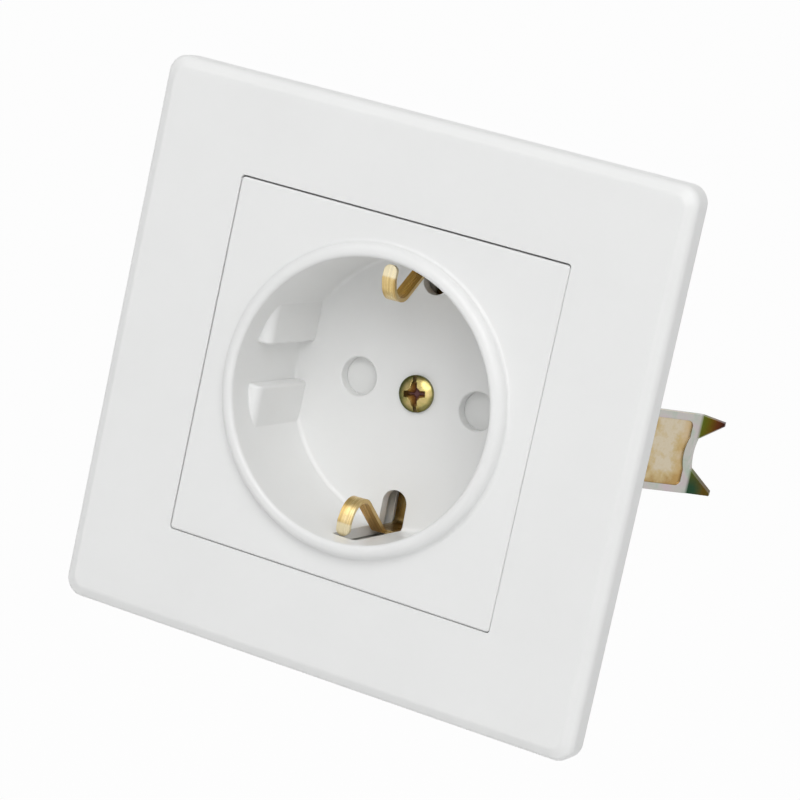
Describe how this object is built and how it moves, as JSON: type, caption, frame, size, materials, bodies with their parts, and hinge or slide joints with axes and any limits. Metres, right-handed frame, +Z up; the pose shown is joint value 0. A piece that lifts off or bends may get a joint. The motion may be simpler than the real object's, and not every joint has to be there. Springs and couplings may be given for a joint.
{
  "type": "wall socket",
  "caption": "Flush wall socket for round-pin plugs: square cover frame, plate with a round well, brass earth clips, a sprung pin shutter, and a strap with claws that grip a wall box.",
  "frame": {"origin": "centre of the two box screw holes, on the wall plane behind the strap", "axes": "-Y is the socket's front, +Y goes into the wall, +Z is up and X runs along the line of the pin holes"},
  "size_m": [0.0814, 0.0408, 0.079],
  "materials": {
    "white_plastic": "smooth gloss white",
    "shutter_plastic": "satin white",
    "base_plastic": "matte off-white moulding",
    "brass": "drawn strip with fine lengthwise lines",
    "yellow_zinc": "yellow passivated zinc",
    "steel": "bright zinc"
  },
  "bodies": {
    "socket": {"outer_frame": "white_plastic", "centre_plate": "white_plastic", "socket_base": "base_plastic", "earth_bridge": "brass", "right_contact": "brass", "left_contact": "brass", "centre_screw": "yellow_zinc", "right_claw_pin": "steel", "left_claw_pin": "steel", "mounting_strap": "steel", "strap_rivets": "steel", "left_shutter_spring": "steel", "right_shutter_spring": "steel", "right_terminal_screw": "steel", "left_terminal_screw": "steel", "earth_terminal_screw": "steel", "right_clamp_washer": "steel", "left_clamp_washer": "steel", "earth_clamp_washer": "steel"},
    "shutter": {"safety_shutter": "shutter_plastic"},
    "right_claw_body": {"right_claw": "yellow_zinc"},
    "left_claw_body": {"left_claw": "yellow_zinc"},
    "right_screw_body": {"right_claw_screw": "yellow_zinc"},
    "left_screw_body": {"left_claw_screw": "yellow_zinc"},
    "right_nut_body": {"right_claw_nut": "steel"},
    "left_nut_body": {"left_claw_nut": "steel"}
  },
  "joints": [
    {"name": "shutter_slide", "type": "slide", "parent": "socket", "child": "shutter", "axis": [0, 0, 1], "range_m": [0, 0.0066], "stiffness_N_per_m": 200, "springref_m": -0.006, "deforming": ["left_shutter_spring", "right_shutter_spring"]},
    {"name": "right_claw_screw_turn", "type": "hinge", "parent": "socket", "child": "right_screw_body", "pos_m": [0.0305, 0, 0], "axis": [0, -1, 0], "range_deg": [0, 1944]},
    {"name": "right_claw_swing", "type": "hinge", "parent": "socket", "child": "right_claw_body", "pos_m": [0.026, 0.0036, 0], "axis": [0, 0, 1], "range_deg": [0, 20]},
    {"name": "right_claw_nut_slide", "type": "slide", "parent": "socket", "child": "right_nut_body", "axis": [0, 1, 0], "range_m": [0, 0.0027]},
    {"name": "left_claw_screw_turn", "type": "hinge", "parent": "socket", "child": "left_screw_body", "pos_m": [-0.0305, 0, 0], "axis": [0, -1, 0], "range_deg": [0, 1944]},
    {"name": "left_claw_swing", "type": "hinge", "parent": "socket", "child": "left_claw_body", "pos_m": [-0.026, 0.0036, 0], "axis": [0, 0, -1], "range_deg": [0, 20]},
    {"name": "left_claw_nut_slide", "type": "slide", "parent": "socket", "child": "left_nut_body", "axis": [0, 1, 0], "range_m": [0, 0.0027]}
  ],
  "couplings": [
    {"joint": "right_claw_screw_turn", "follows": "right_claw_nut_slide", "rad_per_m": 12566},
    {"joint": "right_claw_swing", "follows": "right_claw_nut_slide", "rad_per_m": 129.28},
    {"joint": "left_claw_screw_turn", "follows": "left_claw_nut_slide", "rad_per_m": 12566},
    {"joint": "left_claw_swing", "follows": "left_claw_nut_slide", "rad_per_m": 129.28}
  ]
}
